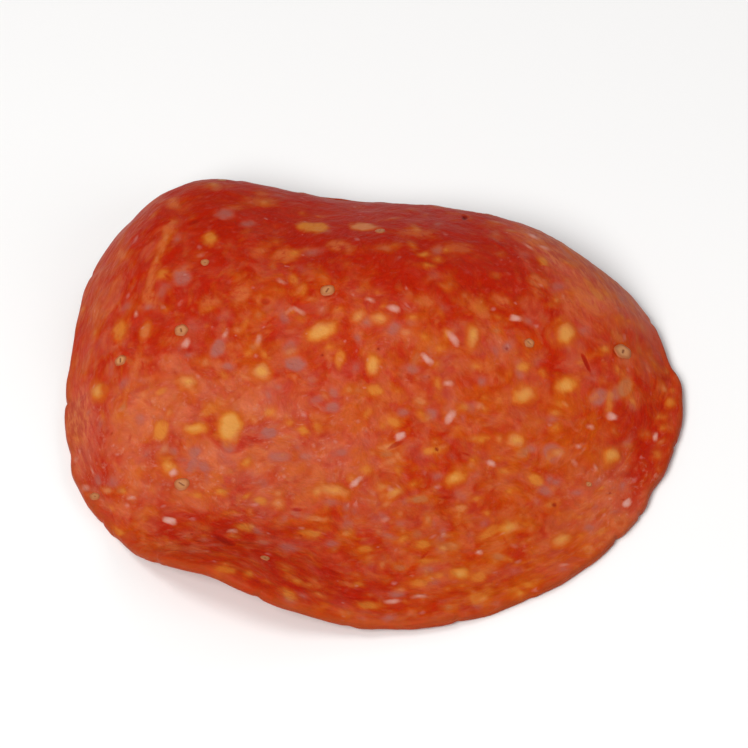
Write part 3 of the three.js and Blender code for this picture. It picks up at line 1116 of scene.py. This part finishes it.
def grazing_sheen(nodes, colour):
    """A pale streaky painted sheen, drawn out along the rim, with darker scratches."""
    around = nodes.attribute("around_rim", "Vector")
    area = nodes.attribute("grazing_sheen_area")
    for name, drawn, by, fade, strength, tone in GRAZING_SHEEN_STREAKS:
        streaks = nodes.noise(name, nodes.stretch(around, drawn))
        colour = nodes.wash(colour, tone, nodes.line(streaks, by, area), fade, strength)
    return colour


def casing_colour(nodes, colour, fringe):
    """The thin darker skin at the rim, worn through in places."""
    inward = nodes.line(fringe, RIM_FRINGE, nodes.attribute("from_casing"))
    colour = nodes.wash(colour, ORANGE_TONE, inward, *NEAR_RIM)
    around = nodes.stretch(nodes.attribute("around_rim", "Vector"), RIM_DRAWN)
    worn = nodes.between(nodes.noise("worn", around), *SKIN_WORN)
    return nodes.wash(colour, SKIN_TONE, inward, SKIN_RANGE, nodes.line(worn, *SKIN_STRENGTH))


def meat_material():
    nodes = Nodes("cured_meat_marbled")
    swirl = nodes.attribute("swirl", "Vector")
    bend_by = nodes.stretch(nodes.noise("bending", swirl, "Color"), BEND_LUMPS_BY)
    swirl = nodes.shift(swirl, bend_by)
    drawn = nodes.stretch(swirl, BITS_DRAWN)
    fringe = nodes.line(nodes.noise("fringe", swirl), *FRINGE)
    slight = nodes.times(fringe, SLIGHT_FRINGE)
    patchy = nodes.noise("patchy", drawn)
    thin_cloud = nodes.between(patchy, *THIN_CLOUD)

    colour = meat_colour(nodes, swirl)
    # The small bits are fainter where the deep red shade is painted.
    outside_shade = nodes.line(nodes.attribute("deep_area"), BITS_IN_PAINTED_SHADE, 1.0)
    for places, bits in ((swirl, MAUVE_BITS), (drawn, ORANGE_BITS), (drawn, PEACH_BITS)):
        colour = small_bits(nodes, places, colour, bits, outside_shade)
    # Painted sheen where the sheet turns away, streaked along the rim.
    colour = grazing_sheen(nodes, colour)
    colour = lay(nodes, colour, VEILED_LAYER, fringe, nodes.between(patchy, *CLOUD))
    for layer in FAT_LAYERS:
        colour = lay(nodes, colour, layer, fringe, thin_cloud)
    straw = nodes.between(nodes.noise("straw", swirl), *STRAW_RANGE)
    fat = nodes.blend(straw, BRIGHT_TONE, STRAW_TONE)
    bright_layer = ("bright", fat, ORANGE_TONE, BRIGHT_SOFTNESS, BRIGHT_STRENGTH)
    colour = lay(nodes, colour, bright_layer, fringe, grown=BRIGHT_GROWN)
    colour = small_bits(nodes, swirl, colour, CHIP_BITS)
    colour = lay(nodes, colour, CHIP_LAYER, fringe)
    for layer in CUT_LAYERS:
        colour = lay(nodes, colour, layer, slight)
    colour = casing_colour(nodes, colour, fringe)

    broad = nodes.times(nodes.noise("broad bumps", drawn), BROAD_BUMPS)
    bumps = nodes.math("ADD", nodes.noise("fine bumps", swirl), broad)
    settings = {"Roughness": nodes.line(nodes.noise("sheen", swirl), *SHEEN), **MEAT_SURFACE}
    return nodes.finish(colour, bumps, BUMP_STRENGTH, BUMP_DEPTH, settings)


# ---- Spice seeds, cut through with the meat --------------------------

SEED_POINTS = 28
SEED_RINGS = 9
SEED_DEPTH = 0.5
SEED_SEAT = 0.4  # mm around a seed whose mean height it is flush with
OVAL = (0.84, 1.0)  # how round
LOBES = (3, 6)  # fewest, and one more than the most
LOBE_DEPTH = 0.05  # of the radius
CUT_HEIGHT = 0.05  # mm that the cut stands out, and how much it falls away at its border
CUT_FALL = 0.13
CUT_FLATNESS = 8  # the higher, the later it falls away
HUSK = (0.82, 0.12, 0.02)  # a low ring: share of the way out, its width, mm high
CRACK_DROP = 0.08  # mm
CRACK_DEPTH = (0.5, 1.0)  # share of that
CRACK_LENGTH = (0.28, 0.58)  # share of the radius
CRACK_TAPER = 0.15
CRACK_WIDTH = 0.13


def seat(flat_place, radius, below):
    """Middle, normal, and two directions along the face, where a seed sits."""
    angle, share = at_flat(np.array([flat_place[0]]), np.array([flat_place[1]]))
    normal = bend.normal(angle, share)[0]
    place = bend.place(angle, share)[0]
    face = sheet.lower if below else sheet.upper
    away = np.hypot(*(sheet.flat - flat_place).T)
    near = face & (away > radius) & (away < radius + SEED_SEAT)
    normal = normal * (-1.0 if below else 1.0)
    place = place + normal * (THICKNESS / 2 + relief[near].mean()) + sheet.shift
    along = np.cross(normal, [0.0, 1.0, 0.0])
    along = along / np.linalg.norm(along)
    return place, normal, along, np.cross(normal, along)


def seed_shape(radius, random):
    """A seed whose cut face looks up along z, in millimetres: points and faces, and for each point
    how deep in the crack it is and its share of the way out."""
    lean = random.uniform(0, math.pi)
    oval = random.uniform(*OVAL)
    crack_turn = random.uniform(0, math.pi)
    crack_length = random.uniform(*CRACK_LENGTH)
    crack_depth = random.uniform(*CRACK_DEPTH)
    lobes = random.integers(*LOBES)
    husk_at, husk_width, husk_height = HUSK
    points = [(0.0, 0.0, CUT_HEIGHT - CRACK_DROP * crack_depth)]
    cracks, shares, faces = [crack_depth], [0.0], []
    for i in range(1, 2 * SEED_RINGS):
        turn = math.pi * i / (2 * SEED_RINGS)
        share = i / SEED_RINGS
        if i > SEED_RINGS:
            share = math.cos(math.pi / 2 * (i - SEED_RINGS) / SEED_RINGS)
        for k in range(SEED_POINTS):
            around = 2 * math.pi * k / SEED_POINTS
            reach = radius * share * (1 + LOBE_DEPTH * math.cos(lobes * around + lean))
            x = reach * math.cos(around)
            y = reach * math.sin(around) * oval
            across = x * math.sin(crack_turn) - y * math.cos(crack_turn)
            down = x * math.cos(crack_turn) + y * math.sin(crack_turn)
            crack = crack_depth * math.exp(-(across / (CRACK_WIDTH * radius)) ** 2)
            taper = smoothstep(abs(down) / radius, crack_length - CRACK_TAPER, crack_length)
            crack *= 1 - float(taper)
            if i <= SEED_RINGS:
                husk = math.exp(-((share - husk_at) / husk_width) ** 2)
                border = CUT_FALL * share ** CUT_FLATNESS
                z = CUT_HEIGHT + husk_height * husk - border - CRACK_DROP * crack
            else:
                z = CUT_HEIGHT - CUT_FALL - SEED_DEPTH * math.sin(turn - math.pi / 2)
            points.append((x, y, z))
            cracks.append(crack)
            shares.append(share)
    for k in range(SEED_POINTS):
        faces.append((0, 1 + k, 1 + (k + 1) % SEED_POINTS))
    rows = 2 * SEED_RINGS - 1
    for i in range(rows - 1):
        for k in range(SEED_POINTS):
            a, b = 1 + i * SEED_POINTS + k, 1 + i * SEED_POINTS + (k + 1) % SEED_POINTS
            faces.append((a, a + SEED_POINTS, b + SEED_POINTS, b))
    last = 1 + (rows - 1) * SEED_POINTS
    faces.append(tuple(last + k for k in reversed(range(SEED_POINTS))))
    return np.array(points), faces, cracks, shares


def make_seeds(material):
    random = np.random.default_rng(SEED + 2)
    points, faces, cracks, shares, paleness = [], [], [], [], []
    for flat_place, radius, pale, below in seeds:
        shape, own_faces, own_cracks, own_shares = seed_shape(radius, random)
        place, normal, along, across = seat(flat_place, radius, below)
        start = len(points)
        for x, y, z in shape:
            points.append(place + along * x + across * y + normal * z)
        faces.extend(tuple(start + v for v in face) for face in own_faces)
        cracks.extend(own_cracks)
        shares.extend(own_shares)
        paleness.extend([pale] * len(shape))
    points = np.array(points)
    points[:, 2] = np.maximum(points[:, 2], 0.0)
    attributes = {
        "crack": np.array(cracks),
        "from_middle": np.array(shares),
        "paleness": np.array(paleness),
        "seed_place": points,
    }
    obj = make_piece("spice_seeds", points, faces, attributes, material)
    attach(obj, "root")


SEED_TONE = (0.35, 0.102, 0.030)
SEED_PALE = (0.49, 0.215, 0.082)
HUSK_TONE = (0.32, 0.084, 0.018)
STAINED_TONE = (0.38, 0.048, 0.007)
# The crack tone is painted shade in a seed's sunk crack.
CRACK_TONE = (0.20, 0.055, 0.014)
SEED_BORDER = 0.4  # how much the grain shifts the rings of the seed
MIDDLE_RANGE = (1.00, 0.60)  # shares of the way out
HUSK_SHOWS = ((0.90, 1.10), 0.60)  # the same, and strength
STAINED_RANGE = (1.10, 1.22)
PALE_GRAIN = ((0.45, 0.65), 0.3)  # range of the grain, strength
CRACK_BORDER = (-0.6, (-0.20, 0.50))  # how much it follows the grain, range
SEED_BUMP_STRENGTH = 0.5
SEED_BUMP_DEPTH = 0.00008  # metres
SEED_SURFACE = {
    "Roughness": 0.45,
    "Specular IOR Level": 0.3,
    "Subsurface Weight": 0.15,
    "Subsurface Radius": (1.0, 0.5, 0.2),
    "Subsurface Scale": 0.0005,
}


def seed_material():
    nodes = Nodes("spice_seed_cut")
    grain = nodes.noise("seed grain", nodes.attribute("seed_place", "Vector"))
    share = nodes.line(grain, SEED_BORDER, nodes.attribute("from_middle"))
    middle = nodes.times(nodes.between(share, *MIDDLE_RANGE), nodes.attribute("paleness"))
    colour = nodes.blend(middle, SEED_TONE, SEED_PALE)
    colour = nodes.wash(colour, SEED_PALE, grain, *PALE_GRAIN)
    colour = nodes.wash(colour, HUSK_TONE, share, *HUSK_SHOWS)
    colour = nodes.blend(nodes.between(share, *STAINED_RANGE), colour, STAINED_TONE)
    # Painted shade: the sunk crack of a seed is darker.
    by, fade = CRACK_BORDER
    crack = nodes.between(nodes.line(grain, by, nodes.attribute("crack")), *fade)
    colour = nodes.blend(crack, colour, CRACK_TONE)
    return nodes.finish(colour, grain, SEED_BUMP_STRENGTH, SEED_BUMP_DEPTH, SEED_SURFACE)


make_slice(meat_material())
make_seeds(seed_material())


# ---- Camera, light and floor -----------------------------------------

CAMERA_DISTANCE = PHOTO_DISTANCE * MM
SENSOR = 36.0
CLIP_START = 0.01
FLOOR_SIDE = 3.0  # metres
FLOOR_TONE = (0.86, 0.86, 0.86, 1.0)
FLOOR_ROUGHNESS = 0.9
SKY_TONE = (1.0, 1.0, 1.0, 1.0)
SKY_STRENGTH = 0.255

# place, size across, power, colour
LIGHTS = {
    "key": ((-0.35, -0.70, 0.75), 0.50, 9.9, (1.0, 0.98, 0.96)),
    "overhead": ((-0.36, -0.05, 0.90), 0.45, 2.6, (1.0, 1.0, 1.0)),
    "side": ((0.75, -0.35, 0.45), 0.60, 1.6, (1.0, 1.0, 1.0)),
    "back": ((0.50, 0.65, 0.50), 0.50, 0.7, (1.0, 1.0, 1.0)),
}


def add_camera():
    data = bpy.data.cameras.new("camera")
    camera = add_object("camera", data)
    low, high = (Vector(corner) for corner in cad_box)
    aim = Vector((0.0, 0.0, (low.z + high.z) / 2))
    away = Vector(TOWARD_PHOTO)
    camera.location = aim + away * CAMERA_DISTANCE
    camera.rotation_euler = (-away).to_track_quat("-Z", "Y").to_euler()
    data.sensor_width = SENSOR
    data.lens = SENSOR * CAMERA_DISTANCE / ((high.x - low.x) / SHARE_OF_FRAME)
    data.clip_start = CLIP_START
    bpy.context.scene.camera = camera


def add_area_light(name, location, size, power, colour):
    data = bpy.data.lights.new(name, "AREA")
    data.shape = "DISK"
    data.size = size
    data.energy = power
    data.color = colour
    light = add_object(name, data)
    light.location = location
    light.rotation_euler = (-Vector(location)).to_track_quat("-Z", "Y").to_euler()


def add_floor():
    side = FLOOR_SIDE / 2
    mesh = bpy.data.meshes.new("floor")
    corners = [(-side, -side, 0), (side, -side, 0), (side, side, 0), (-side, side, 0)]
    mesh.from_pydata(corners, [], [(0, 1, 2, 3)])
    material = bpy.data.materials.new("floor")
    material.use_nodes = True
    shader = material.node_tree.nodes["Principled BSDF"]
    shader.inputs["Base Color"].default_value = FLOOR_TONE
    shader.inputs["Roughness"].default_value = FLOOR_ROUGHNESS
    mesh.materials.append(material)
    floor = add_object("floor", mesh)


def add_world():
    world = bpy.data.worlds.new("studio")
    world.use_nodes = True
    background = world.node_tree.nodes["Background"]
    background.inputs["Color"].default_value = SKY_TONE
    background.inputs["Strength"].default_value = SKY_STRENGTH
    bpy.context.scene.world = world


add_camera()
for name, (location, size, power, colour) in LIGHTS.items():
    add_area_light(name, location, size, power, colour)
add_floor()
add_world()
bpy.context.scene.view_settings.view_transform = "Standard"
